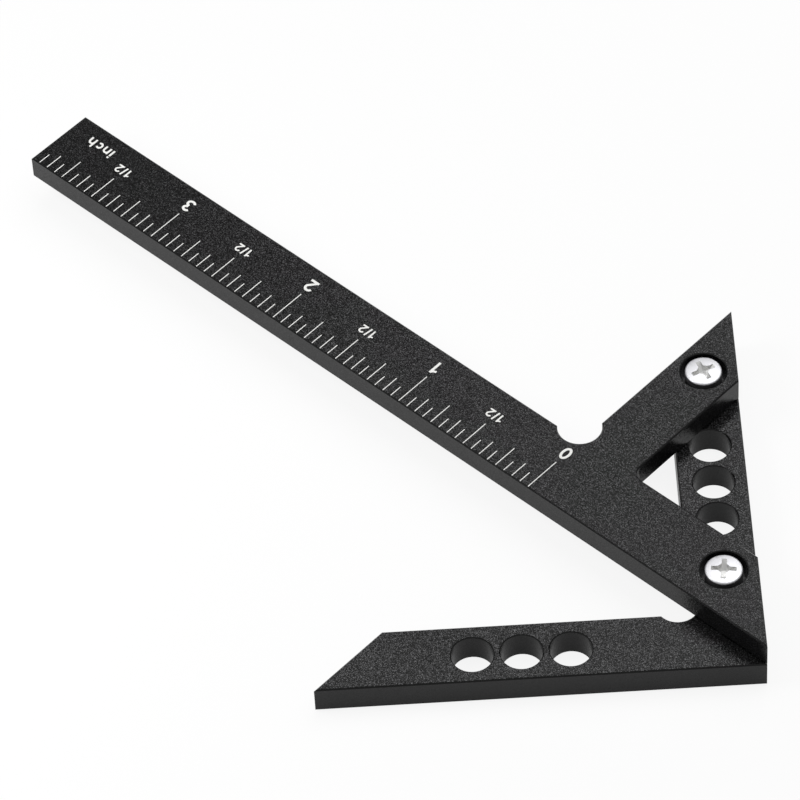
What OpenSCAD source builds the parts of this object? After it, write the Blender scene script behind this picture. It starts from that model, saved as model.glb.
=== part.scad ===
// Centre-finding rule: a mitred square with a forked, graduated blade screwed on top of it.
// The blade's graduated edge lies on the square's bisector and runs exactly through its outside corner,
// so a line drawn along that edge crosses the middle of round or square stock held between the arms.
// The frame: X along the graduated edge, the free end at -X and the outside corner at +X, Z up,
// the origin in the middle of the underside.

/* [Square] */
// Length of each arm along its outer edge
arm_len = 64; // [60:1:90]
// Width of the arms
arm_w = 10; // [9.5:0.1:14]
// Thickness of the square
square_t = 4.5; // [4:0.1:8]
// Diameter of the relief milled in the inside corner
relief_d = 6.1; // [5.4:0.1:7]
// How far the middle of that relief stands off both inside edges
relief_out = 1.8; // [1.4:0.1:1.8]

/* [Arm holes] */
// Diameter of the round holes along the arms
hole_d = 6.1; // [4.5:0.1:6.4]
// Metal left between two holes
hole_web = 0.9; // [0.7:0.1:1.2]
// How far the row's middle stands past the middle between the screws, towards the arm's tip
hole_shift = 0.95; // [0:0.05:1.5]
// Distance of the row of holes from the outer edge
hole_inset = 4.9; // [4.5:0.1:5.2]
// Holes in each arm
hole_count = 3; // [1:1:3]

/* [Blade] */
// Thickness of the blade
blade_t = 4; // [3.5:0.1:7]
// Width of the graduated bar
bar_w = 11.7; // [11:0.1:15]
// Width of the branch that braces the bar
branch_w = 9.8; // [9:0.1:14]
// Radius inside the fork of bar and branch
fork_r = 1.8; // [0.8:0.1:3]
// Diameter of the relief milled where the branch leaves the bar
notch_d = 6.6; // [5.8:0.1:7]
// How far the middle of that relief stands off the bar and the branch
notch_out = 2; // [1.5:0.1:2]

/* [Graduations] */
// Length of the scale in inches
scale_inches = 4; // [3:1:6]
// Width of an engraved line
line_w = 0.15; // [0.1:0.05:0.3]
// Depth of an engraved line
line_depth = 0.1; // [0.05:0.01:0.2]
// How far an inch line reaches from the graduated edge
inch_line = 6.3; // [6:0.1:7]
// How far a half inch line reaches
half_line = 5.1; // [4.8:0.1:5.6]
// How far a quarter inch line reaches
quarter_line = 4.3; // [4:0.1:4.6]
// How far an eighth line reaches
eighth_line = 3.2; // [2.8:0.1:3.6]
// How far a sixteenth line reaches
sixteenth_line = 2.3; // [1.6:0.1:2.6]

/* [Screws] */
// Thread diameter of the pan head screws
screw_d = 3; // [2.5:0.1:3.4]
// Length of a screw under its head
screw_len = 6; // [5:0.1:6.4]
// Diameter of the head
head_d = 5.5; // [5:0.1:6]
// Height of the head
head_h = 2.3; // [1.6:0.1:2.6]
// Depth of the seats for the heads
seat_depth = 2; // [1.5:0.1:2.2]
// Distance of the first screw from the outside corner, along the arm
corner_screw_at = 14.5; // [13:0.1:15.5]
// Distance of the second screw from the tip of the arm
tip_screw_at = 11.6; // [11:0.1:12.5]
// Span of the cross recess
recess_span = 3.9; // [3:0.1:4.1]
// Width of one wing of the cross
recess_slot = 0.75; // [0.6:0.05:0.9]
// Depth of the cross recess
recess_depth = 1.3; // [0.8:0.1:1.5]

/* [Edges and clearances] */
// Bevel along every outline edge
edge_break = 0.2; // [0.1:0.05:0.3]
// Bevel round the mouth of every hole
rim_break = 0.15; // [0.1:0.05:0.3]
// Gap round a screw head in its seat
seat_gap = 0.7; // [0.4:0.05:0.9]
// Gap round a screw's shank in the blade
shank_gap = 0.2; // [0.1:0.05:0.3]
// Gap between a screw's crests and the threaded hole
thread_gap = 0.05; // [0.03:0.01:0.1]

/* [Hidden] */
$fn = 96;

// One inch, and how finely it is divided
inch_len = 25.4;
divisions = 16;
// How far a cut runs past the metal
overrun = 1;
// How far each screw is turned home, in degrees
corner_screw_angle = -8;
tip_screw_angle = 24;

// Distance from the outside corner to the line through both arm tips, where the scale starts
zero_at = arm_len / sqrt(2);
blade_len = zero_at + scale_inches * inch_len;
// The screws stand in the middle of the arm
screw_line = arm_w / 2;
screw_places = [corner_screw_at, arm_len - tip_screw_at];
// The holes of an arm, in one row along it
hole_pitch = hole_d + hole_web;
row_middle = (screw_places[0] + screw_places[1]) / 2 + hole_shift;
row_start = row_middle - (hole_count - 1) / 2 * hole_pitch;
hole_places = [for (i = [0 : hole_count - 1]) row_start + i * hole_pitch];
// Each head stands on the floor of its seat, its crown a little proud of the blade
seat_z = square_t + blade_t - seat_depth;

// A head's edge radius as a share of its height, and its crown's radius as a share of its diameter
head_edge_share = 0.15;
crown_share = 3;
head_edge_r = head_h * head_edge_share;
crown_r = head_d * crown_share;
// The recess narrows to this share of its span at the bottom
recess_taper_share = 0.3;
// The core of the cross is this share of its span
recess_core_share = 0.62;
// The tip of a screw's thread is broken by this share of its diameter
screw_point_share = 0.15;

// Outline of the square, arms along X and Y from the outside corner
square_outline = [
    [0, 0],
    [arm_len, 0],
    [arm_len - arm_w, arm_w],
    [arm_w, arm_w],
    [arm_w, arm_len - arm_w],
    [0, arm_len],
];

// Outline of the blade, X along the graduated edge from the outside corner, Y towards the branch
blade_outline = [
    [0, 0],
    [blade_len, 0],
    [blade_len, bar_w],
    [zero_at, bar_w],
    [zero_at, zero_at],
    [zero_at - branch_w, zero_at - branch_w],
    [zero_at - branch_w, bar_w],
    [bar_w, bar_w],
];

// How far line number i reaches from the graduated edge
function line_reach(i) =
    i % divisions == 0 ? inch_line :
    i % (divisions / 2) == 0 ? half_line :
    i % (divisions / 4) == 0 ? quarter_line :
    i % (divisions / 8) == 0 ? eighth_line :
    sixteenth_line;

// Puts what is drawn in the square's own directions into the frame
module on_square() {
    translate([blade_len / 2, 0, 0])
        rotate([0, 0, 135])
            children();
}

// Puts what is drawn in the blade's own directions into the frame
module on_blade() {
    translate([blade_len / 2, 0, square_t])
        mirror([1, 0, 0])
            children();
}

// Wedge that bevels a top edge at z = 0 from p to q, with the metal on its left
module edge_wedge(p, q) {
    run = norm(q - p) + 2 * edge_break;
    translate([p.x, p.y, 0])
        rotate([0, 0, atan2(q.y - p.y, q.x - p.x) - 90])
            translate([0, run - edge_break, 0])
                rotate([90, 0, 0])
                    linear_extrude(run)
                        polygon([
                            [-2 * edge_break, edge_break],
                            [edge_break, -2 * edge_break],
                            [edge_break, edge_break],
                        ]);
}

// Cone that bevels the mouth of a hole of diameter d at z = 0
module rim_cone(d, size) {
    translate([0, 0, -size])
        cylinder(h = 2 * size, d1 = d, d2 = d + 4 * size);
}

// Flat plate with every straight edge of its outline bevelled
module bevelled_plate(outline, t) {
    last = len(outline) - 1;
    difference() {
        linear_extrude(t)
            polygon(outline);
        for (i = [0 : last]) {
            translate([0, 0, t])
                edge_wedge(outline[i], outline[i == last ? 0 : i + 1]);
            mirror([0, 0, 1])
                edge_wedge(outline[i], outline[i == last ? 0 : i + 1]);
        }
    }
}

// Hole of diameter d through a plate of thickness t, with both mouths bevelled
module through_cut(d, t, size) {
    translate([0, 0, -overrun])
        cylinder(h = t + 2 * overrun, d = d);
    translate([0, 0, t])
        rim_cone(d, size);
    mirror([0, 0, 1])
        rim_cone(d, size);
}

// The square that rests against the stock: two mitred arms, corner relief, holes and threaded holes
module square_base() {
    color("#2c2c2e")
        on_square()
            difference() {
                bevelled_plate(square_outline, square_t);
                translate([arm_w + relief_out, arm_w + relief_out, 0])
                    through_cut(relief_d, square_t, edge_break);
                for (place = hole_places) {
                    translate([place, hole_inset, 0])
                        through_cut(hole_d, square_t, rim_break);
                    translate([hole_inset, place, 0])
                        through_cut(hole_d, square_t, rim_break);
                }
                for (place = screw_places)
                    translate([place, screw_line, 0])
                        through_cut(screw_d + 2 * thread_gap, square_t, rim_break);
            }
}

// Fills the inside corner of the fork with a round fillet
module fork_fillet() {
    corner = [zero_at - branch_w, bar_w];
    difference() {
        translate([corner.x - fork_r, corner.y - edge_break, 0])
            cube([fork_r + edge_break, fork_r + edge_break, blade_t]);
        translate([corner.x - fork_r, corner.y + fork_r, 0])
            through_cut(2 * fork_r, blade_t, edge_break);
    }
}

// Grooves of the scale, one for each sixteenth, sunk in the top face and running out at the graduated edge
module scale_grooves() {
    for (i = [0 : scale_inches * divisions - 1])
        translate([zero_at + i * inch_len / divisions - line_w / 2, -overrun, blade_t - line_depth])
            cube([line_w, line_reach(i) + overrun, line_depth + overrun]);
}

// Seat for one screw: clearance hole, flat counterbore for the head, bevelled mouth
module screw_seat() {
    translate([0, 0, square_t - overrun])
        cylinder(h = blade_t + 2 * overrun, d = screw_d + 2 * shank_gap);
    translate([0, 0, seat_z])
        cylinder(h = seat_depth + overrun, d = head_d + 2 * seat_gap);
    translate([0, 0, square_t + blade_t])
        rim_cone(head_d + 2 * seat_gap, rim_break);
}

// The graduated blade: bar and branch in one piece, both cut off along the square's outer edge
module graduated_blade() {
    color("#2c2c2e")
        difference() {
            on_blade()
                difference() {
                    union() {
                        bevelled_plate(blade_outline, blade_t);
                        fork_fillet();
                    }
                    translate([zero_at + notch_out, bar_w + notch_out, 0])
                        through_cut(notch_d, blade_t, edge_break);
                    scale_grooves();
                }
            on_square()
                for (place = screw_places)
                    translate([place, screw_line, 0])
                        screw_seat();
        }
}

// Half section of a pan head: a slight crown that runs smoothly into the rounded edge
module head_section() {
    crown_z = head_h - crown_r;
    edge_x = head_d / 2 - head_edge_r;
    edge_z = crown_z + sqrt(pow(crown_r - head_edge_r, 2) - pow(edge_x, 2));
    meet_x = edge_x * crown_r / (crown_r - head_edge_r);
    square([head_d / 2, edge_z]);
    translate([edge_x, edge_z])
        circle(r = head_edge_r);
    intersection() {
        translate([0, crown_z])
            circle(r = crown_r);
        square([meet_x, head_h]);
    }
}

// Cross recess in the top of a head, its wings narrowing towards the bottom
module cross_recess() {
    intersection() {
        union() {
            for (turn = [0, 90])
                rotate([0, 0, turn])
                    translate([-recess_span / 2, -recess_slot / 2, -recess_depth])
                        cube([recess_span, recess_slot, recess_depth + overrun]);
            rotate([0, 0, 45])
                translate([0, 0, -recess_depth])
                    linear_extrude(recess_depth + overrun)
                        square(recess_span * recess_core_share / sqrt(2), center = true);
        }
        translate([0, 0, -recess_depth])
            cylinder(h = recess_depth, d1 = recess_span * recess_taper_share, d2 = recess_span);
    }
}

// Pan head machine screw standing on its seat, turned by an angle
module pan_screw(angle) {
    point = screw_d * screw_point_share;
    color("#d9d9dc")
        rotate([0, 0, angle])
            difference() {
                union() {
                    rotate_extrude()
                        head_section();
                    translate([0, 0, point - screw_len])
                        cylinder(h = screw_len, d = screw_d);
                    translate([0, 0, -screw_len])
                        cylinder(h = point, d1 = screw_d - 2 * point, d2 = screw_d);
                }
                translate([0, 0, head_h])
                    cross_recess();
            }
}

// The screw near the outside corner
module corner_screw() {
    on_square()
        translate([screw_places[0], screw_line, seat_z])
            pan_screw(corner_screw_angle);
}

// The screw near the arm's tip, through the branch
module tip_screw() {
    on_square()
        translate([screw_places[1], screw_line, seat_z])
            pan_screw(tip_screw_angle);
}

square_base();
graduated_blade();
corner_screw();
tip_screw();
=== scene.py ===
import math

import bmesh
import bpy
from bpy.props import FloatProperty, FloatVectorProperty, IntProperty, PointerProperty
from mathutils import Matrix, Vector
from mathutils.geometry import delaunay_2d_cdt


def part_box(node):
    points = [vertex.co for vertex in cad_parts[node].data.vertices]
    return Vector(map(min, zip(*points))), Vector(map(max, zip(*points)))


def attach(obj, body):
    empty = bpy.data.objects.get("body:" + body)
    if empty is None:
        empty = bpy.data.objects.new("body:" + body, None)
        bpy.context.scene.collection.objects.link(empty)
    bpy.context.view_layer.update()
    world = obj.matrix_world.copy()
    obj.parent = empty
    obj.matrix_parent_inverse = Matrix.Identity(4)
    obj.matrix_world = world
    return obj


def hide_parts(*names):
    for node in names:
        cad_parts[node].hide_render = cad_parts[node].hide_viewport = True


bl_info = {
    "name": "Centre-finding Ruler",
    "version": (1, 0, 0),
    "blender": (4, 5, 0),
    "location": "3D View > Sidebar > Ruler",
    "description": "Finishes, graduates and figures a centre-finding ruler",
    "category": "Object",
}

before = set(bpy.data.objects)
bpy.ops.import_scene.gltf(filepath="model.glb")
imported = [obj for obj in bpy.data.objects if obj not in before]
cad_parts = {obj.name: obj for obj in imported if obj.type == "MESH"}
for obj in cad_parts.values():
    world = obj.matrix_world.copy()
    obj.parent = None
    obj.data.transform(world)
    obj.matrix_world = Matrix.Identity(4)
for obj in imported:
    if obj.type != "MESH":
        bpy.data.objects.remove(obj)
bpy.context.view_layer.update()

# Real sizes are written in millimetres and used in metres.
MM = 0.001
BODY = "root"
PLAIN_WHITE = (1.0, 1.0, 1.0, 1.0)
PLATES = {"square_base": "square_anodise", "graduated_blade": "blade_anodise"}
SCREWS = ("corner_screw", "tip_screw")

# Each lamp's name, its place and side in metres, and its power in watts. The bar mirrors the softbox's left
# edge, which is what darkens its top towards the free end.
LAMPS = (
    ("back_softbox", (0.0, 0.30, 0.47), 0.6, 2.3),
    ("front_lamp", (-0.09, -0.12, 0.18), 0.12, 0.28),
)

BLADE_LOW, BLADE_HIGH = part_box("graduated_blade")


def linear(hex_colour):
    """The linear RGBA of an sRGB colour written as #rrggbb."""
    channels = [int(hex_colour[i:i + 2], 16) / 255 for i in (1, 3, 5)]
    return [c / 12.92 if c <= 0.04045 else ((c + 0.055) / 1.055) ** 2.4 for c in channels] + [1.0]


# Materials


def add_node(tree, kind, settings=None, inputs=None):
    """Adds a node: settings are its properties, inputs its sockets' values or the sockets that feed them."""
    node = tree.nodes.new(kind)
    for name, value in (settings or {}).items():
        setattr(node, name, value)
    for name, value in (inputs or {}).items():
        if isinstance(value, bpy.types.NodeSocket):
            tree.links.new(value, node.inputs[name])
        else:
            node.inputs[name].default_value = value
    return node


def new_material(name):
    """An empty node material and its tree."""
    material = bpy.data.materials.new(name)
    material.use_nodes = True
    material.node_tree.nodes.clear()
    return material, material.node_tree


def blasted_anodised_aluminium(name, finish, peak_colour, wall_colour, plate_low, plate_high):
    """Aluminium plate, bead-blasted on its flat faces, milled round its outline and dyed black.

    Each dent of the blasting has a shade and a tilt of its own, which gives the salt-and-pepper grain of the
    top and the underside. The milled walls are darker and smoother, with a faint grain and upright tool
    marks. The bevels, cut last, are the darkest and outline the plates: their colour is partly painted shade,
    darker than the walls to stand in for the dark room that the bevels mirror.
    """
    material, tree = new_material(name)
    place = add_node(tree, "ShaderNodeTexCoord").outputs["Object"]

    # How deep a point lies under the nearer flat face of its plate.
    height = add_node(tree, "ShaderNodeSeparateXYZ", None, {"Vector": place}).outputs["Z"]
    off_middle = add_node(
        tree, "ShaderNodeMath", {"operation": "SUBTRACT"},
        {0: height, 1: (plate_low.z + plate_high.z) / 2}).outputs[0]
    off_middle = add_node(tree, "ShaderNodeMath", {"operation": "ABSOLUTE"}, {0: off_middle}).outputs[0]
    depth = add_node(
        tree, "ShaderNodeMath", {"operation": "SUBTRACT"},
        {0: (plate_high.z - plate_low.z) / 2, 1: off_middle}).outputs[0]
    flat = add_node(
        tree, "ShaderNodeMapRange", None,
        {"Value": depth, "From Min": finish.flat_skin, "From Max": 2 * finish.flat_skin,
         "To Min": 1.0, "To Max": 0.0}).outputs["Result"]
    wall = add_node(
        tree, "ShaderNodeMapRange", None,
        {"Value": depth, "From Min": 0.9 * finish.bevel, "From Max": 1.1 * finish.bevel}).outputs["Result"]

    # The blasted grain, one cell to a dent. Real dents are about 0.05 mm wide, too fine for the picture,
    # so they are drawn twice as wide.
    dents = add_node(
        tree, "ShaderNodeTexVoronoi", None, {"Vector": place, "Scale": 1 / finish.grain}).outputs["Color"]
    chance = add_node(tree, "ShaderNodeSeparateColor", None, {"Color": dents}).outputs["Red"]
    rarity = add_node(
        tree, "ShaderNodeMath", {"operation": "POWER"}, {0: chance, 1: finish.contrast}).outputs[0]
    shade = add_node(
        tree, "ShaderNodeMix", {"data_type": "RGBA"},
        {"Factor": rarity, "A": [*finish.pit_colour, 1.0], "B": [*peak_colour, 1.0]}).outputs["Result"]
    lean = add_node(
        tree, "ShaderNodeVectorMath", {"operation": "SUBTRACT"},
        {0: dents, 1: (0.5, 0.5, 0.5)}).outputs["Vector"]
    lean = add_node(
        tree, "ShaderNodeVectorMath", {"operation": "SCALE"},
        {0: lean, "Scale": finish.dent_tilt}).outputs["Vector"]
    face = add_node(tree, "ShaderNodeNewGeometry").outputs["Normal"]
    leaning = add_node(
        tree, "ShaderNodeVectorMath", {"operation": "ADD"}, {0: face, 1: lean}).outputs["Vector"]
    leaning = add_node(
        tree, "ShaderNodeVectorMath", {"operation": "NORMALIZE"}, {0: leaning}).outputs["Vector"]

    # The cutter's marks on the walls, drawn out along the cutter's axis. Most of a noise texture's values lie
    # round 0.5, so the range that is used is stretched.
    upright = add_node(
        tree, "ShaderNodeVectorMath", {"operation": "MULTIPLY"},
        {0: place, 1: (1.0, 1.0, finish.mark_stretch)}).outputs["Vector"]
    marks = add_node(
        tree, "ShaderNodeTexNoise", None,
        {"Vector": upright, "Scale": 1 / finish.tool_marks, "Detail": 2.0}).outputs["Fac"]
    streaks = add_node(
        tree, "ShaderNodeMapRange", None,
        {"Value": marks, "From Min": 0.35, "From Max": 0.65}).outputs["Result"]
    dark, pale = (
        [*(share * c for c in wall_colour), 1.0] for share in (1 - finish.mark_share, 1 + finish.mark_share))
    milled = add_node(
        tree, "ShaderNodeMix", {"data_type": "RGBA"},
        {"Factor": streaks, "A": dark, "B": pale}).outputs["Result"]
    # The bevels' colour is partly painted shade: darker than the walls, it stands in for the dark room that
    # they mirror.
    cut = add_node(
        tree, "ShaderNodeMix", {"data_type": "RGBA"},
        {"Factor": wall, "A": [*finish.bevel_colour, 1.0], "B": milled}).outputs["Result"]
    relief = add_node(tree, "ShaderNodeMath", {"operation": "MULTIPLY"}, {0: marks, 1: wall}).outputs[0]
    bump = add_node(
        tree, "ShaderNodeBump", None,
        {"Strength": finish.mark_strength, "Distance": finish.mark_depth,
         "Height": relief, "Normal": leaning}).outputs["Normal"]

    colour = add_node(
        tree, "ShaderNodeMix", {"data_type": "RGBA"},
        {"Factor": flat, "A": cut, "B": shade}).outputs["Result"]
    metal = add_node(
        tree, "ShaderNodeMath", {"operation": "MULTIPLY"}, {0: flat, 1: finish.metal_share}).outputs[0]
    rough = add_node(
        tree, "ShaderNodeMix", {"data_type": "FLOAT"},
        {"Factor": flat, "A": finish.cut_roughness, "B": finish.roughness}).outputs["Result"]
    shader = add_node(
        tree, "ShaderNodeBsdfPrincipled", None,
        {"Base Color": colour, "Metallic": metal, "Roughness": rough,
         "Specular IOR Level": finish.gloss, "Normal": bump}).outputs["BSDF"]
    add_node(tree, "ShaderNodeOutputMaterial", None, {"Surface": shader})
    return material


def nickel_plated_steel(name, finish, colour, roughness):
    """Cold-headed steel, nickel plated: bright, with faint marks left by the header."""
    material, tree = new_material(name)
    place = add_node(tree, "ShaderNodeTexCoord").outputs["Object"]
    marks = add_node(
        tree, "ShaderNodeTexNoise", None,
        {"Vector": place, "Scale": 1 / finish.header_marks, "Detail": 3.0, "Roughness": 0.55}).outputs["Fac"]
    bump = add_node(
        tree, "ShaderNodeBump", None,
        {"Strength": finish.header_strength, "Distance": finish.mark_depth,
         "Height": marks}).outputs["Normal"]
    rough = add_node(
        tree, "ShaderNodeMapRange", None,
        {"Value": marks, "From Min": 0.3, "From Max": 0.7, "To Min": roughness - finish.header_spread,
         "To Max": roughness + finish.header_spread}).outputs["Result"]
    shader = add_node(
        tree, "ShaderNodeBsdfPrincipled", None,
        {"Base Color": [*colour, 1.0], "Metallic": 1.0, "Roughness": rough, "Normal": bump}).outputs["BSDF"]
    add_node(tree, "ShaderNodeOutputMaterial", None, {"Surface": shader})
    return material


def white_enamel(finish):
    """White enamel wiped into the engraving: matt, with a trace of the metal's grain along it."""
    material, tree = new_material("white_enamel_fill")
    place = add_node(tree, "ShaderNodeTexCoord").outputs["Object"]
    specks = add_node(
        tree, "ShaderNodeTexNoise", None,
        {"Vector": place, "Scale": 1 / finish.grain, "Detail": 1.0}).outputs["Fac"]
    cover = add_node(
        tree, "ShaderNodeMapRange", None,
        {"Value": specks, "From Min": 0.3, "From Max": 0.5,
         "To Min": finish.thinnest_enamel, "To Max": 1.0}).outputs["Result"]
    colour = add_node(
        tree, "ShaderNodeMix", {"data_type": "RGBA"},
        {"Factor": cover, "A": [0.0, 0.0, 0.0, 1.0], "B": [*finish.enamel_colour, 1.0]}).outputs["Result"]
    shader = add_node(
        tree, "ShaderNodeBsdfPrincipled", None, {"Base Color": colour, "Roughness": 0.5}).outputs["BSDF"]
    add_node(tree, "ShaderNodeOutputMaterial", None, {"Surface": shader})
    return material


# Properties


class RulerFinish(bpy.types.PropertyGroup):
    """Colours and surface sizes of the metal and the paint."""

    pit_colour: FloatVectorProperty(
        name="Grain pits", description="Darkest colour of the blasted grain",
        subtype="COLOR", size=3, min=0, max=1, default=linear("#020202")[:3])
    square_peak_colour: FloatVectorProperty(
        name="Square's grain peaks", description="Palest colour of the square's blasted grain",
        subtype="COLOR", size=3, min=0, max=1, default=linear("#535354")[:3])
    blade_peak_colour: FloatVectorProperty(
        name="Blade's grain peaks", description="Palest colour of the blade's blasted grain",
        subtype="COLOR", size=3, min=0, max=1, default=linear("#4a4a4b")[:3])
    square_wall_colour: FloatVectorProperty(
        name="Square's walls", description="Colour of the square's milled walls and hole walls",
        subtype="COLOR", size=3, min=0, max=1, default=linear("#0c0c0d")[:3])
    blade_wall_colour: FloatVectorProperty(
        name="Blade's walls", description="Colour of the blade's milled walls",
        subtype="COLOR", size=3, min=0, max=1, default=linear("#0c0c0d")[:3])
    mark_share: FloatProperty(
        name="Mark contrast", description="How far the cutter's marks differ in colour, as a share",
        min=0, max=1, default=0.4)
    # The bevels' colour is partly painted shade: darker than the walls, it stands in for the dark room that
    # they mirror.
    bevel_colour: FloatVectorProperty(
        name="Bevels", description="Colour of the bevels, cut last and not blasted",
        subtype="COLOR", size=3, min=0, max=1, default=linear("#020202")[:3])
    plating_colour: FloatVectorProperty(
        name="Plating", description="Colour of the screws' nickel plating",
        subtype="COLOR", size=3, min=0, max=1, default=linear("#cdcdd0")[:3])
    # The colour of the recess and the threads is partly painted light: paler than the plating, it lifts the
    # shade that falls in the cross recess.
    recess_colour: FloatVectorProperty(
        name="Recess", description="Colour of the punched recess and the threads",
        subtype="COLOR", size=3, min=0, max=1, default=linear("#dadad9")[:3])
    enamel_colour: FloatVectorProperty(
        name="Enamel", description="Colour of the paint in the lines and figures",
        subtype="COLOR", size=3, min=0, max=1, default=linear("#f4f4f1")[:3])
    grain: FloatProperty(
        name="Grain", description="Width of one blasted dent", unit="LENGTH", min=0.00005, default=0.1 * MM)
    contrast: FloatProperty(
        name="Grain contrast", description="Power that makes the pale dents rarer", min=1, default=4.5)
    dent_tilt: FloatProperty(
        name="Dent tilt", description="How far the face of a dent leans, as a slope", min=0, default=0.12)
    gloss: FloatProperty(
        name="Gloss", description="Specular level of the sealed oxide", min=0, max=0.5, default=0.28)
    flat_skin: FloatProperty(
        name="Blasted skin", description="Depth to which a flat face counts as blasted",
        unit="LENGTH", min=0.000001, default=0.012 * MM)
    bevel: FloatProperty(
        name="Bevel", description="Height of the plates' bevels",
        unit="LENGTH", min=0.00001, default=0.2 * MM)
    tool_marks: FloatProperty(
        name="Tool marks", description="Spacing of the cutter's marks on the walls",
        unit="LENGTH", min=0.00005, default=0.5 * MM)
    mark_stretch: FloatProperty(
        name="Mark stretch", description="Height of the marks' pattern as a share of its width",
        min=0, default=0.12)
    mark_depth: FloatProperty(
        name="Mark depth", description="Depth of the cutter's and header's marks",
        unit="LENGTH", min=0, default=0.01 * MM)
    mark_strength: FloatProperty(
        name="Mark strength", description="Strength of the cutter's marks", min=0, max=1, default=0.4)
    header_strength: FloatProperty(
        name="Header strength", description="Strength of the header's marks", min=0, max=1, default=0.25)
    header_spread: FloatProperty(
        name="Header spread", description="How far the marks change the plating's roughness",
        min=0, max=0.2, default=0.05)
    thinnest_enamel: FloatProperty(
        name="Thinnest enamel", description="How far the thinnest enamel covers the black",
        min=0, max=1, default=0.82)
    header_marks: FloatProperty(
        name="Header marks", description="Spacing of the faint marks on the screws",
        unit="LENGTH", min=0.00005, default=0.6 * MM)
    roughness: FloatProperty(
        name="Blasted roughness", description="Roughness of the blasted faces", min=0, max=1, default=0.25)
    cut_roughness: FloatProperty(
        name="Milled roughness", description="Roughness of the walls and bevels", min=0, max=1, default=0.22)
    plating_roughness: FloatProperty(
        name="Plating roughness", description="Roughness of the screws' heads", min=0, max=1, default=0.45)
    metal_share: FloatProperty(
        name="Metal share", description="Share of the metal's own sheen on the blasted faces",
        min=0, max=1, default=0.6)


class RulerScale(bpy.types.PropertyGroup):
    """Sizes of the graduations and figures, the same as those of the engraved grooves."""

    inches: IntProperty(name="Inches", description="Length of the scale in inches", min=1, default=4)
    divisions: IntProperty(name="Divisions", description="Lines to the inch", min=1, default=16)
    inch: FloatProperty(
        name="Inch", description="Length of one inch", unit="LENGTH", min=0.001, default=25.4 * MM)
    line_width: FloatProperty(
        name="Line width", description="Width of an engraved line",
        unit="LENGTH", min=0.00001, default=0.15 * MM)
    line_depth: FloatProperty(
        name="Line depth", description="Depth of an engraved line",
        unit="LENGTH", min=0.00001, default=0.1 * MM)
    line_start: FloatProperty(
        name="Line start", description="Where the lines start, off the graduated edge",
        unit="LENGTH", min=0, default=0.2 * MM)
    inch_line: FloatProperty(
        name="Inch line", description="How far an inch line reaches from the edge",
        unit="LENGTH", min=0, default=6.3 * MM)
    half_line: FloatProperty(
        name="Half inch line", description="How far a half inch line reaches",
        unit="LENGTH", min=0, default=5.1 * MM)
    quarter_line: FloatProperty(
        name="Quarter line", description="How far a quarter inch line reaches",
        unit="LENGTH", min=0, default=4.3 * MM)
    eighth_line: FloatProperty(
        name="Eighth line", description="How far an eighth line reaches",
        unit="LENGTH", min=0, default=3.2 * MM)
    sixteenth_line: FloatProperty(
        name="Sixteenth line", description="How far a sixteenth line reaches",
        unit="LENGTH", min=0, default=2.3 * MM)
    fill_gap: FloatProperty(
        name="Fill gap", description="How far the paint stays inside its groove",
        unit="LENGTH", min=0, default=0.004 * MM)
    figure_height: FloatProperty(
        name="Figure height", description="Height of the inch figures",
        unit="LENGTH", min=0, default=2.4 * MM)
    figure_foot: FloatProperty(
        name="Figure foot", description="Distance of the inch figures' feet from the edge",
        unit="LENGTH", min=0, default=9.6 * MM)
    figure_stroke: FloatProperty(
        name="Figure stroke", description="Width of the inch figures' strokes",
        unit="LENGTH", min=0, default=0.4 * MM)
    half_height: FloatProperty(
        name="Half height", description="Height of the half inch figures",
        unit="LENGTH", min=0, default=1.6 * MM)
    half_foot: FloatProperty(
        name="Half foot", description="Distance of the half inch figures' feet from the edge",
        unit="LENGTH", min=0, default=7.95 * MM)
    half_stroke: FloatProperty(
        name="Half stroke", description="Width of the half inch figures' strokes",
        unit="LENGTH", min=0, default=0.27 * MM)
    unit_height: FloatProperty(
        name="Unit height", description="Height of the unit word", unit="LENGTH", min=0, default=1.8 * MM)
    unit_foot: FloatProperty(
        name="Unit foot", description="Distance of the unit word's foot from the edge",
        unit="LENGTH", min=0, default=9.3 * MM)
    unit_stroke: FloatProperty(
        name="Unit stroke", description="Width of the unit word's strokes",
        unit="LENGTH", min=0, default=0.32 * MM)
    unit_place: FloatProperty(
        name="Unit place", description="Distance of the unit word's middle from zero",
        unit="LENGTH", min=0, default=95.1 * MM)
    ink_height: FloatProperty(
        name="Figure thickness", description="How far the painted figures stand proud",
        unit="LENGTH", min=0, default=0.015 * MM)


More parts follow.
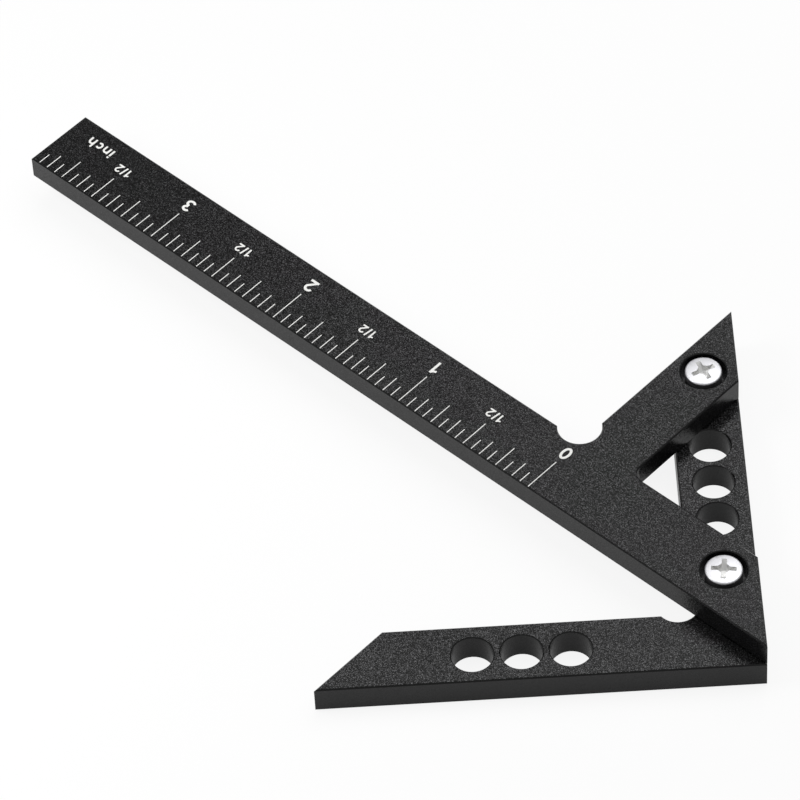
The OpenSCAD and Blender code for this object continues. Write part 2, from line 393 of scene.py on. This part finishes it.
class RulerScrew(bpy.types.PropertyGroup):
    """Sizes of the screws' heads and threads."""

    seat_depth: FloatProperty(
        name="Seat depth", description="Depth of the seat under the blade's top", unit="LENGTH", min=0,
        default=2.0 * MM)
    collar: FloatProperty(
        name="Collar", description="Plain shank between the head and the thread", unit="LENGTH", min=0,
        default=0.1 * MM)
    pitch: FloatProperty(
        name="Pitch", description="Pitch of the thread", unit="LENGTH", min=0.0001, default=0.5 * MM)
    crest: FloatProperty(
        name="Crest radius", description="Radius over the thread's crests", unit="LENGTH", min=0,
        default=1.48 * MM)
    root: FloatProperty(
        name="Root radius", description="Radius at the thread's root",
        unit="LENGTH", min=0, default=1.19 * MM)
    point: FloatProperty(
        name="Point radius", description="Radius of the flat end", unit="LENGTH", min=0, default=1.05 * MM)
    sides: IntProperty(name="Sides", description="Sides of the threaded shank", min=8, default=36)
    rings: IntProperty(name="Rings", description="Rings of the thread to one pitch", min=4, default=8)
    recess_reach: FloatProperty(
        name="Recess reach", description="Radius that the cross recess stays inside", unit="LENGTH", min=0,
        default=2.05 * MM)
    crown_level: FloatProperty(
        name="Crown level", description="How level a face of the crown is, as its normal's height",
        min=0, max=1, default=0.96)
    sharp_angle: FloatProperty(
        name="Sharp angle", description="Angle from which an edge is sharp", unit="ROTATION",
        default=math.radians(30))
    weld: FloatProperty(
        name="Weld", description="Distance within which corners are one", unit="LENGTH", min=0,
        default=0.001 * MM)
    punch_roughness: FloatProperty(
        name="Punched roughness", description="Roughness that the punch adds in the recess",
        min=0, max=1, default=0.12)


class RulerStage(bpy.types.PropertyGroup):
    """The camera, the lamps and the floor."""

    camera_place: FloatVectorProperty(
        name="Camera place", description="Where the camera stands", subtype="TRANSLATION", unit="LENGTH",
        size=3, default=(0.3887, -0.3804, 0.61992))
    camera_target: FloatVectorProperty(
        name="Camera target", description="The point in the middle of the picture", subtype="TRANSLATION",
        unit="LENGTH", size=3, default=(-0.0025, 0.005667, 0.0))
    camera_roll: FloatProperty(
        name="Camera roll", description="Turn of the camera about its view", unit="ROTATION",
        default=math.radians(-3.607))
    lens: FloatProperty(name="Lens", description="Focal length of the camera in millimetres", default=251.3)
    sensor: FloatProperty(
        name="Sensor", description="Width of the camera's sensor in millimetres", default=36)
    floor_size: FloatProperty(
        name="Floor size", description="Side of the floor", unit="LENGTH", min=0.1, default=6.0)
    floor_colour: FloatVectorProperty(
        name="Floor", description="Colour of the floor",
        subtype="COLOR", size=3, min=0, max=1, default=linear("#fcfcfc")[:3])
    floor_drop: FloatProperty(
        name="Floor drop", description="How far the floor lies under the square, so that the two never meet",
        unit="LENGTH", min=0, default=0.05 * MM)
    floor_lift: FloatProperty(
        name="Floor lift", description="Share of plain white in the floor as the camera sees it",
        min=0, max=1, default=0.88)
    mirrored_lift: FloatProperty(
        name="Mirrored lift", description="Share of plain white in the floor and the room as metal shows them",
        min=0, max=1, default=0.45)
    walls: FloatProperty(
        name="Walls", description="Strength of the room's light at eye level", min=0, default=0.06)
    ceiling: FloatProperty(
        name="Ceiling", description="Strength of the room's light overhead", min=0, default=0.22)


def settings():
    """The groups of settings: finish, scale, stage and screw."""
    scene = bpy.context.scene
    return scene.ruler_finish, scene.ruler_scale, scene.ruler_stage, scene.ruler_screw


# Strokes of the figures, in heights: each glyph is a width and a list of paths made of arcs and lines

# The gaps between a word's glyphs, in heights.
GAPS = {"1/2": (0.24, 0.16), "inch": (0.2, 0.2, 0.2)}


def arc(centre, radii, start, end, steps=12):
    """Points on an ellipse from one angle in degrees to another."""
    angles = [math.radians(start + (end - start) * i / steps) for i in range(steps + 1)]
    return [Vector((centre[0] + radii[0] * math.cos(a), centre[1] + radii[1] * math.sin(a))) for a in angles]


def line(*points):
    """The same points as vectors."""
    return [Vector(p) for p in points]


def glyph_paths(name, s):
    """Width and centre lines of a glyph one unit high whose strokes are s wide."""
    h = s / 2
    if name == "0":
        w = 0.62
        return w, [arc((w / 2, 0.5), (w / 2 - h, 0.5 - h), 0, 360, 32)]
    if name == "1":
        w = 0.40
        return w, [line((w - h, 0), (w - h, 1)), line((w - h, 0.93), (0.55 * w, 0.80), (0, 0.72))]
    if name == "2":
        w = 0.64
        bowl = arc((w / 2, 0.69), (w / 2 - h, 0.31 - h), 165, -35, 14)
        return w, [bowl + line((h + 0.06, h + 0.06)), line((0, h), (w, h))]
    if name == "3":
        w = 0.64
        upper = arc((w / 2 - 0.01, 0.745), (w / 2 - h - 0.02, 0.255 - h), 160, -90, 14)
        lower = arc((w / 2 - 0.01, 0.285), (w / 2 - h + 0.01, 0.285 - h), 90, -160, 14)
        return w, [upper, lower]
    if name == "/":
        w = 0.30
        return w, [line((h * 0.9, -0.02), (w - h * 0.9, 1.02))]
    if name == "i":
        w = s
        return w, [line((h, 0), (h, 0.72)), line((h, 1 - s), (h, 1))]
    if name in "nh":
        w = 0.66
        stem = line((h, 0), (h, 1.0 if name == "h" else 0.72))
        radius = w / 2 - h
        arch = arc((w / 2, 0.72 - h - radius), (radius, radius), 180, 0, 12) + line((w - h, 0))
        return w, [stem, arch]
    if name == "c":
        w = 0.62
        return w, [arc((w / 2, 0.36), (w / 2 - h, 0.36 - h), 42, 318, 20)]
    raise ValueError(f"no strokes for {name!r}")


def stroke_quads(path, width):
    """The four-cornered patches of a stroke of one width along a path, with mitred bends and square ends."""
    closed = (path[0] - path[-1]).length < width * 0.01
    points = path[:-1] if closed else path
    count = len(points)
    sides = []
    for i, point in enumerate(points):
        before = points[i - 1] if closed or i else None
        after = points[(i + 1) % count] if closed or i < count - 1 else None
        ways = [(b - a).normalized() for a, b in ((before, point), (point, after)) if a and b]
        normals = [Vector((-way.y, way.x)) for way in ways]
        side = sum(normals, Vector((0, 0))).normalized()
        side *= width / 2 / max(side.dot(normals[0]), 0.3)
        sides.append((point + side, point - side))
    pairs = list(zip(sides, sides[1:] + sides[:1])) if closed else list(zip(sides, sides[1:]))
    return [(a[0], a[1], b[1], b[0]) for a, b in pairs]


def inked_solid(name, paths, width, low, high):
    """One closed solid, from low to high, of everything that strokes of one width along the paths cover."""
    corners, faces = [], []
    for path in paths:
        for quad in stroke_quads(path, width):
            turn = sum(a.cross(b) for a, b in zip(quad, quad[1:] + quad[:1]))
            faces.append(list(range(len(corners), len(corners) + 4))[::1 if turn > 0 else -1])
            corners.extend(quad)
    flat, _edges, pieces, _v, _e, inside = delaunay_2d_cdt(corners, [], faces, 0, width * 0.001)
    mesh = bmesh.new()
    floor = [mesh.verts.new((p.x, p.y, low)) for p in flat]
    for piece, strokes in zip(pieces, inside):
        if strokes:
            mesh.faces.new([floor[i] for i in piece])
    bmesh.ops.delete(mesh, geom=[v for v in mesh.verts if not v.link_faces], context="VERTS")
    bmesh.ops.dissolve_limit(mesh, angle_limit=0.01, verts=mesh.verts, edges=mesh.edges)
    raised = bmesh.ops.extrude_face_region(mesh, geom=mesh.faces[:], use_keep_orig=True)["geom"]
    bmesh.ops.translate(
        mesh, verts=[v for v in raised if isinstance(v, bmesh.types.BMVert)], vec=(0, 0, high - low))
    bmesh.ops.recalc_face_normals(mesh, faces=mesh.faces)
    return linked_piece(name, mesh)


def linked_piece(name, mesh):
    """The object of a bmesh, linked to the scene."""
    data = bpy.data.meshes.new(name)
    mesh.to_mesh(data)
    mesh.free()
    piece = bpy.data.objects.new(name, data)
    bpy.context.scene.collection.objects.link(piece)
    return piece


# Geometry Nodes


def graduation_tree():
    """A row of bars along -X, one for each line of the scale, with a reach that follows its rank."""
    tree = bpy.data.node_groups.new("graduation_fill", "GeometryNodeTree")
    tree.is_modifier = True
    face = tree.interface
    face.new_socket("Geometry", in_out="OUTPUT", socket_type="NodeSocketGeometry")
    for name, kind in (
        ("Lines", "NodeSocketInt"), ("Divisions", "NodeSocketInt"), ("Pitch", "NodeSocketFloat"),
        ("Width", "NodeSocketFloat"), ("Depth", "NodeSocketFloat"), ("Start", "NodeSocketFloat"),
        ("Inch reach", "NodeSocketFloat"), ("Half reach", "NodeSocketFloat"),
        ("Quarter reach", "NodeSocketFloat"), ("Eighth reach", "NodeSocketFloat"),
        ("Sixteenth reach", "NodeSocketFloat"), ("Zero", "NodeSocketVector"),
        ("Enamel", "NodeSocketMaterial"),
    ):
        face.new_socket(name, in_out="INPUT", socket_type=kind)
    given = add_node(tree, "NodeGroupInput").outputs

    back = add_node(
        tree, "ShaderNodeMath", {"operation": "MULTIPLY"}, {0: given["Pitch"], 1: -1.0}).outputs[0]
    step = add_node(tree, "ShaderNodeCombineXYZ", None, {"X": back}).outputs[0]
    row = add_node(
        tree, "GeometryNodeMeshLine", {"mode": "OFFSET"},
        {"Count": given["Lines"], "Start Location": given["Zero"], "Offset": step}).outputs["Mesh"]

    index = add_node(tree, "GeometryNodeInputIndex").outputs["Index"]
    reach = given["Sixteenth reach"]
    for share, name in ((8, "Eighth reach"), (4, "Quarter reach"), (2, "Half reach"), (1, "Inch reach")):
        every = add_node(
            tree, "ShaderNodeMath", {"operation": "DIVIDE"},
            {0: given["Divisions"], 1: float(share)}).outputs[0]
        rest = add_node(tree, "ShaderNodeMath", {"operation": "MODULO"}, {0: index, 1: every}).outputs[0]
        hit = add_node(tree, "ShaderNodeMath", {"operation": "LESS_THAN"}, {0: rest, 1: 0.5}).outputs[0]
        reach = add_node(
            tree, "GeometryNodeSwitch", {"input_type": "FLOAT"},
            {"Switch": hit, "False": reach, "True": given[name]}).outputs["Output"]

    length = add_node(
        tree, "ShaderNodeMath", {"operation": "SUBTRACT"}, {0: reach, 1: given["Start"]}).outputs[0]
    size = add_node(
        tree, "ShaderNodeCombineXYZ", None,
        {"X": given["Width"], "Y": length, "Z": given["Depth"]}).outputs[0]
    bar = add_node(tree, "GeometryNodeMeshCube", None, {"Size": (1.0, 1.0, 1.0)}).outputs["Mesh"]
    bar = add_node(
        tree, "GeometryNodeTransform", None, {"Geometry": bar, "Translation": (0.0, 0.5, 0.5)}).outputs[0]
    bars = add_node(
        tree, "GeometryNodeInstanceOnPoints", None,
        {"Points": row, "Instance": bar, "Scale": size}).outputs["Instances"]
    real = add_node(tree, "GeometryNodeRealizeInstances", None, {"Geometry": bars}).outputs[0]
    painted = add_node(
        tree, "GeometryNodeSetMaterial", None, {"Geometry": real, "Material": given["Enamel"]}).outputs[0]
    add_node(tree, "NodeGroupOutput", None, {"Geometry": painted})
    return tree


def from_tree(name, tree, values):
    """Evaluates a tree on an empty mesh and returns the result as a plain mesh object."""
    host = bpy.data.objects.new(name + "_host", bpy.data.meshes.new(name + "_host"))
    bpy.context.scene.collection.objects.link(host)
    modifier = host.modifiers.new(name, "NODES")
    modifier.node_group = tree
    for item in tree.interface.items_tree:
        if item.in_out == "INPUT":
            modifier[item.identifier] = values[item.name]
    depsgraph = bpy.context.evaluated_depsgraph_get()
    data = bpy.data.meshes.new_from_object(host.evaluated_get(depsgraph), depsgraph=depsgraph)
    data.name = name
    piece = bpy.data.objects.new(name, data)
    bpy.context.scene.collection.objects.link(piece)
    host.modifiers.remove(modifier)
    bpy.data.objects.remove(host)
    return piece


def thread_tree():
    """A closed, threaded shank that hangs down from its place, with a chamfered point."""
    tree = bpy.data.node_groups.new("threaded_shank", "GeometryNodeTree")
    tree.is_modifier = True
    face = tree.interface
    face.new_socket("Geometry", in_out="OUTPUT", socket_type="NodeSocketGeometry")
    for name, kind in (
        ("Sides", "NodeSocketInt"), ("Rings", "NodeSocketInt"), ("Length", "NodeSocketFloat"),
        ("Pitch", "NodeSocketFloat"), ("Crest", "NodeSocketFloat"), ("Root", "NodeSocketFloat"),
        ("Point", "NodeSocketFloat"), ("Place", "NodeSocketVector"), ("Plating", "NodeSocketMaterial"),
    ):
        face.new_socket(name, in_out="INPUT", socket_type=kind)
    given = add_node(tree, "NodeGroupInput").outputs

    # A unit sheet: X goes round the shank and Y down it. The first and last rings close its ends.
    sheet = add_node(
        tree, "GeometryNodeMeshGrid", None,
        {"Size X": 1.0, "Size Y": 1.0,
         "Vertices X": given["Sides"], "Vertices Y": given["Rings"]}).outputs["Mesh"]
    spot = add_node(
        tree, "ShaderNodeSeparateXYZ", None,
        {"Vector": add_node(tree, "GeometryNodeInputPosition").outputs["Position"]}).outputs

    # Each row is one sum: its result, the operation and its two operands, by name or as numbers.
    sums = {name: given[name] for name in ("Rings", "Length", "Pitch", "Crest", "Root", "Point")}
    sums |= {"across": spot["X"], "along": spot["Y"]}
    for result, operation, *operands in (
        ("turn", "ADD", "across", 0.5),
        ("last", "SUBTRACT", "Rings", 1.0),
        ("ring", "ADD", "along", 0.5),
        ("ring", "MULTIPLY", "ring", "last"),
        # How far down the shank a ring lies, from 0 to 1, with a ring to spare at either end.
        ("walls", "SUBTRACT", "last", 2.0),
        ("down", "SUBTRACT", "ring", 1.0),
        ("down", "DIVIDE", "down", "walls"),
        ("down", "MAXIMUM", "down", 0.0),
        ("down", "MINIMUM", "down", 1.0),
        ("drop", "MULTIPLY", "down", "Length"),
        # A right-hand thread: one turn anticlockwise, seen from the head, climbs one pitch.
        ("turns", "DIVIDE", "drop", "Pitch"),
        ("turns", "ADD", "turns", "turn"),
        ("phase", "FRACT", "turns"),
        ("flank", "MULTIPLY", "phase", 2.0),
        ("flank", "SUBTRACT", "flank", 1.0),
        ("flank", "ABSOLUTE", "flank"),
        # Root and crest are flat for 0.15 of a flank each.
        ("rise", "SUBTRACT", "flank", 0.15),
        ("rise", "DIVIDE", "rise", 0.7),
        ("rise", "MAXIMUM", "rise", 0.0),
        ("rise", "MINIMUM", "rise", 1.0),
        ("height", "SUBTRACT", "Crest", "Root"),
        ("height", "MULTIPLY", "rise", "height"),
        ("radius", "ADD", "Root", "height"),
        # The point is chamfered at 45 degrees.
        ("chamfer", "SUBTRACT", "Length", "drop"),
        ("chamfer", "ADD", "Point", "chamfer"),
        ("radius", "MINIMUM", "radius", "chamfer"),
        # The first and last rings shrink to a point each, which closes the ends.
        ("first", "GREATER_THAN", "ring", 0.5),
        ("end", "SUBTRACT", "last", 0.5),
        ("end", "LESS_THAN", "ring", "end"),
        ("open", "MULTIPLY", "first", "end"),
        ("radius", "MULTIPLY", "radius", "open"),
        ("angle", "MULTIPLY", "turn", 2 * math.pi),
        ("cosine", "COSINE", "angle"),
        ("sine", "SINE", "angle"),
        ("X", "MULTIPLY", "radius", "cosine"),
        ("Y", "MULTIPLY", "radius", "sine"),
        ("Z", "MULTIPLY", "drop", -1.0),
    ):
        fed = {i: sums.get(operand, operand) for i, operand in enumerate(operands)}
        sums[result] = add_node(tree, "ShaderNodeMath", {"operation": operation}, fed).outputs[0]

    point = add_node(
        tree, "ShaderNodeCombineXYZ", None, {axis: sums[axis] for axis in "XYZ"}).outputs[0]
    shaped = add_node(
        tree, "GeometryNodeSetPosition", None, {"Geometry": sheet, "Position": point}).outputs[0]
    closed = add_node(
        tree, "GeometryNodeMergeByDistance", None, {"Geometry": shaped, "Distance": 0.0001 * MM}).outputs[0]
    outward = add_node(tree, "GeometryNodeFlipFaces", None, {"Mesh": closed}).outputs[0]
    placed = add_node(
        tree, "GeometryNodeTransform", None, {"Geometry": outward, "Translation": given["Place"]}).outputs[0]
    real = add_node(tree, "GeometryNodeRealizeInstances", None, {"Geometry": placed}).outputs[0]
    plated = add_node(
        tree, "GeometryNodeSetMaterial", None, {"Geometry": real, "Material": given["Plating"]}).outputs[0]
    add_node(tree, "NodeGroupOutput", None, {"Geometry": plated})
    return tree


# Operators


class RULER_OT_anodise_plates(bpy.types.Operator):
    """Give both plates their blasted and anodised finish"""

    bl_idname = "ruler.anodise_plates"
    bl_label = "Anodise plates"

    def execute(self, context):
        finish = settings()[0]
        dyes = {
            "square_base": (finish.square_peak_colour, finish.square_wall_colour),
            "graduated_blade": (finish.blade_peak_colour, finish.blade_wall_colour),
        }
        for node, name in PLATES.items():
            metal = blasted_anodised_aluminium(name, finish, *dyes[node], *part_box(node))
            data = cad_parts[node].data
            data.materials.clear()
            data.materials.append(metal)
        return {"FINISHED"}


class RULER_OT_plate_screws(bpy.types.Operator):
    """Make both screws, with their threads, and give them their bright plating"""

    bl_idname = "ruler.plate_screws"
    bl_label = "Plate screws"

    def execute(self, context):
        finish, _scale, _stage, screw = settings()
        plating = nickel_plated_steel(
            "nickel_plated_steel", finish, finish.plating_colour, finish.plating_roughness)
        # The recess and the threads are rougher from the punch, and their paler colour is painted light that
        # lifts the shade in the cross recess.
        punched = nickel_plated_steel(
            "lit_punched_plated_steel", finish, finish.recess_colour,
            finish.plating_roughness + screw.punch_roughness)
        for node in SCREWS:
            low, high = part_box(node)
            neck = BLADE_HIGH.z - screw.seat_depth - screw.collar
            values = {
                "Sides": screw.sides + 1,
                "Rings": round((neck - low.z) / screw.pitch * screw.rings) + 3,
                "Length": neck - low.z,
                "Pitch": screw.pitch,
                "Crest": screw.crest,
                "Root": screw.root,
                "Point": screw.point,
                "Place": ((low.x + high.x) / 2, (low.y + high.y) / 2, neck),
                "Plating": punched,
            }
            shank = from_tree(node + "_shank", thread_tree(), values)
            for face in shank.data.polygons:
                face.material_index = 1
            mesh = screw_head(node, screw)
            mesh.from_mesh(shank.data)
            bpy.data.objects.remove(shank)
            if not all(edge.is_manifold for edge in mesh.edges):
                raise RuntimeError(f"{node} came out with an open edge")
            piece = linked_piece(node + "_plated", mesh)
            piece.data.materials.append(plating)
            piece.data.materials.append(punched)
            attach(piece, BODY)
            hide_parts(node)
        return {"FINISHED"}


def screw_head(node, screw):
    """The head of a CAD screw as one closed mesh, cut off under its collar, with its recess marked."""
    low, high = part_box(node)
    head = bmesh.new()
    head.from_mesh(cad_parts[node].data)
    bmesh.ops.remove_doubles(head, verts=head.verts, dist=screw.weld)
    seat = BLADE_HIGH.z - screw.seat_depth
    cut = bmesh.ops.bisect_plane(
        head, geom=head.verts[:] + head.edges[:] + head.faces[:], plane_co=(0, 0, seat - 2 * screw.collar),
        plane_no=(0, 0, 1), clear_inner=True)["geom_cut"]
    bmesh.ops.edgeloop_fill(head, edges=[item for item in cut if isinstance(item, bmesh.types.BMEdge)])
    for face in head.faces:
        spot = face.calc_center_median()
        away = math.hypot(spot.x - (low.x + high.x) / 2, spot.y - (low.y + high.y) / 2)
        crown = spot.z > BLADE_HIGH.z and face.normal.z > screw.crown_level
        face.material_index = int(away < screw.recess_reach and spot.z > seat and not crown)
        face.smooth = True
    for edge in head.edges:
        edge.smooth = edge.calc_face_angle(math.pi) < screw.sharp_angle
    return head


class RULER_OT_fill_graduations(bpy.types.Operator):
    """Fill the engraved lines of the scale with white enamel"""

    bl_idname = "ruler.fill_graduations"
    bl_label = "Fill graduations"

    def execute(self, context):
        finish, scale, _stage, _screw = settings()
        zero = BLADE_LOW.x + scale.inches * scale.inch
        floor = BLADE_HIGH.z - scale.line_depth
        values = {
            "Lines": scale.inches * scale.divisions,
            "Divisions": scale.divisions,
            "Pitch": scale.inch / scale.divisions,
            "Width": scale.line_width - 2 * scale.fill_gap,
            "Depth": scale.line_depth - scale.fill_gap,
            "Start": scale.line_start,
            "Inch reach": scale.inch_line - scale.fill_gap,
            "Half reach": scale.half_line - scale.fill_gap,
            "Quarter reach": scale.quarter_line - scale.fill_gap,
            "Eighth reach": scale.eighth_line - scale.fill_gap,
            "Sixteenth reach": scale.sixteenth_line - scale.fill_gap,
            "Zero": (zero, BLADE_LOW.y + scale.line_start + scale.fill_gap, floor),
            "Enamel": shared_enamel(finish),
        }
        piece = from_tree("graduation_fill", graduation_tree(), values)
        if len(piece.data.polygons) < scale.inches * scale.divisions:
            raise RuntimeError("the graduations' tree made fewer bars than the scale has lines")
        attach(piece, BODY)
        return {"FINISHED"}


class RULER_OT_paint_figures(bpy.types.Operator):
    """Paint the inch figures, the half inch figures and the unit word on the blade"""

    bl_idname = "ruler.paint_figures"
    bl_label = "Paint figures"

    def execute(self, context):
        finish, scale, _stage, _screw = settings()
        enamel = shared_enamel(finish)
        zero = BLADE_LOW.x + scale.inches * scale.inch
        words = [(f"figure_{i}", str(i), i * scale.inch, scale.figure_height, scale.figure_foot,
                  scale.figure_stroke) for i in range(scale.inches)]
        words += [(f"half_{i}", "1/2", (i + 0.5) * scale.inch, scale.half_height, scale.half_foot,
                   scale.half_stroke) for i in range(scale.inches)]
        words.append(("unit_word", "inch", scale.unit_place, scale.unit_height, scale.unit_foot,
                      scale.unit_stroke))
        for name, text, along, height, foot, stroke in words:
            piece = painted_word(name, text, height, stroke, scale)
            # The figures are read with the graduated edge on top, so they stand turned by half a turn.
            turn = Matrix.Rotation(math.pi, 4, "Z")
            place = Matrix.Translation((zero - along, BLADE_LOW.y + foot, BLADE_HIGH.z))
            piece.data.transform(place @ turn)
            piece.data.materials.append(enamel)
            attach(piece, BODY)
        return {"FINISHED"}


def shared_enamel(finish):
    """The one white enamel, made when it is first needed."""
    return bpy.data.materials.get("white_enamel_fill") or white_enamel(finish)


def painted_word(name, text, height, stroke, scale):
    """A word of stroked glyphs, centred on X, standing on Y = 0, sunk a little into Z = 0."""
    share = stroke / height
    glyphs = [glyph_paths(letter, share) for letter in text]
    gaps = GAPS.get(text, ())
    total = sum(width for width, _paths in glyphs) + sum(gaps)
    placed = []
    left = -total / 2
    for (width, paths), gap in zip(glyphs, (*gaps, 0)):
        placed += [[Vector((p.x + left, p.y)) * height for p in path] for path in paths]
        left += width + gap
    return inked_solid(name, placed, stroke, -scale.ink_height, scale.ink_height)


class RULER_OT_set_stage(bpy.types.Operator):
    """Set the camera, the lamps, the floor and the sky"""

    bl_idname = "ruler.set_stage"
    bl_label = "Set stage"

    def execute(self, context):
        stage = settings()[2]
        add_camera(stage)
        add_floor(stage)
        add_sky(stage)
        for lamp in LAMPS:
            add_lamp(*lamp)
        return {"FINISHED"}


def add_camera(stage):
    """The photograph's camera: a long lens high over the corner's side."""
    data = bpy.data.cameras.new("camera")
    data.sensor_width = stage.sensor
    data.lens = stage.lens
    data.clip_end = 10.0
    camera = bpy.data.objects.new("camera", data)
    bpy.context.scene.collection.objects.link(camera)
    place, target = Vector(stage.camera_place), Vector(stage.camera_target)
    aim = (target - place).to_track_quat("-Z", "Y").to_matrix().to_4x4()
    camera.matrix_world = Matrix.Translation(place) @ aim @ Matrix.Rotation(stage.camera_roll, 4, "Z")
    bpy.context.scene.camera = camera
    bpy.context.scene.view_settings.view_transform = "Standard"


def plain_white_share(tree, stage, direct):
    """How much of a backdrop is plain white: one share to the camera, another to metal that mirrors it."""
    rays = add_node(tree, "ShaderNodeLightPath").outputs
    seen = add_node(
        tree, "ShaderNodeMath", {"operation": "MULTIPLY"}, {0: rays["Is Camera Ray"], 1: direct}).outputs[0]
    mirrored = add_node(
        tree, "ShaderNodeMath", {"operation": "ADD"},
        {0: rays["Is Glossy Ray"], 1: rays["Is Transmission Ray"]}).outputs[0]
    mirrored = add_node(
        tree, "ShaderNodeMath", {"operation": "MULTIPLY"}, {0: mirrored, 1: stage.mirrored_lift}).outputs[0]
    return add_node(tree, "ShaderNodeMath", {"operation": "ADD"}, {0: seen, 1: mirrored}).outputs[0]


def add_floor(stage):
    """A pale floor that keeps a faint shadow and is nearly white to the camera."""
    half = stage.floor_size / 2
    data = bpy.data.meshes.new("floor")
    corners = [(-half, -half), (half, -half), (half, half), (-half, half)]
    data.from_pydata([(x, y, -stage.floor_drop) for x, y in corners], [], [(0, 1, 2, 3)])
    material, tree = new_material("pale_floor")
    cloth = add_node(
        tree, "ShaderNodeBsdfDiffuse", None, {"Color": [*stage.floor_colour, 1.0]}).outputs[0]
    white = add_node(
        tree, "ShaderNodeEmission", None, {"Color": PLAIN_WHITE, "Strength": 1.0}).outputs[0]
    both = add_node(
        tree, "ShaderNodeMixShader", None,
        {0: plain_white_share(tree, stage, stage.floor_lift), 1: cloth, 2: white}).outputs[0]
    add_node(tree, "ShaderNodeOutputMaterial", None, {"Surface": both})
    data.materials.append(material)
    floor = bpy.data.objects.new("floor", data)
    bpy.context.scene.collection.objects.link(floor)


def add_sky(stage):
    """A room with dim walls under a paler ceiling, which is plain white to the camera."""
    world = bpy.data.worlds.new("studio")
    world.use_nodes = True
    tree = world.node_tree
    tree.nodes.clear()
    way = add_node(tree, "ShaderNodeTexCoord").outputs["Generated"]
    height = add_node(tree, "ShaderNodeSeparateXYZ", None, {"Vector": way}).outputs["Z"]
    room = add_node(
        tree, "ShaderNodeMapRange", None,
        {"Value": height, "From Min": 0.3, "From Max": 0.7,
         "To Min": stage.walls, "To Max": stage.ceiling}).outputs["Result"]
    strength = add_node(
        tree, "ShaderNodeMix", {"data_type": "FLOAT"},
        {"Factor": plain_white_share(tree, stage, 1.0), "A": room, "B": 1.0}).outputs["Result"]
    background = add_node(
        tree, "ShaderNodeBackground", None, {"Color": PLAIN_WHITE, "Strength": strength}).outputs[0]
    add_node(tree, "ShaderNodeOutputWorld", None, {"Surface": background})
    bpy.context.scene.world = world


def add_lamp(name, place, size, power):
    """A square softbox that faces straight down and stays out of the picture."""
    data = bpy.data.lights.new(name, "AREA")
    data.size = size
    data.energy = power
    lamp = bpy.data.objects.new(name, data)
    bpy.context.scene.collection.objects.link(lamp)
    lamp.location = place
    lamp.visible_camera = False


class RULER_PT_panel(bpy.types.Panel):
    """Lists the ruler's steps in the 3D view's sidebar"""

    bl_label = "Ruler"
    bl_idname = "RULER_PT_panel"
    bl_space_type = "VIEW_3D"
    bl_region_type = "UI"
    bl_category = "Ruler"

    def draw(self, context):
        for step in STEPS:
            self.layout.operator(step.bl_idname)
        for group in settings():
            box = self.layout.box()
            for name in group.bl_rna.properties.keys():
                if name not in ("rna_type", "name"):
                    box.prop(group, name)


GROUPS = {
    "ruler_finish": RulerFinish, "ruler_scale": RulerScale,
    "ruler_stage": RulerStage, "ruler_screw": RulerScrew,
}
STEPS = (
    RULER_OT_set_stage, RULER_OT_anodise_plates, RULER_OT_plate_screws,
    RULER_OT_fill_graduations, RULER_OT_paint_figures,
)


def register():
    for item in (*GROUPS.values(), *STEPS, RULER_PT_panel):
        bpy.utils.register_class(item)
    for name, group in GROUPS.items():
        setattr(bpy.types.Scene, name, PointerProperty(type=group))


def unregister():
    for name in GROUPS:
        delattr(bpy.types.Scene, name)
    for item in reversed((*GROUPS.values(), *STEPS, RULER_PT_panel)):
        bpy.utils.unregister_class(item)


def main():
    register()
    for step in STEPS:
        group, name = step.bl_idname.split(".")
        getattr(getattr(bpy.ops, group), name)()


if __name__ == "__main__":
    main()
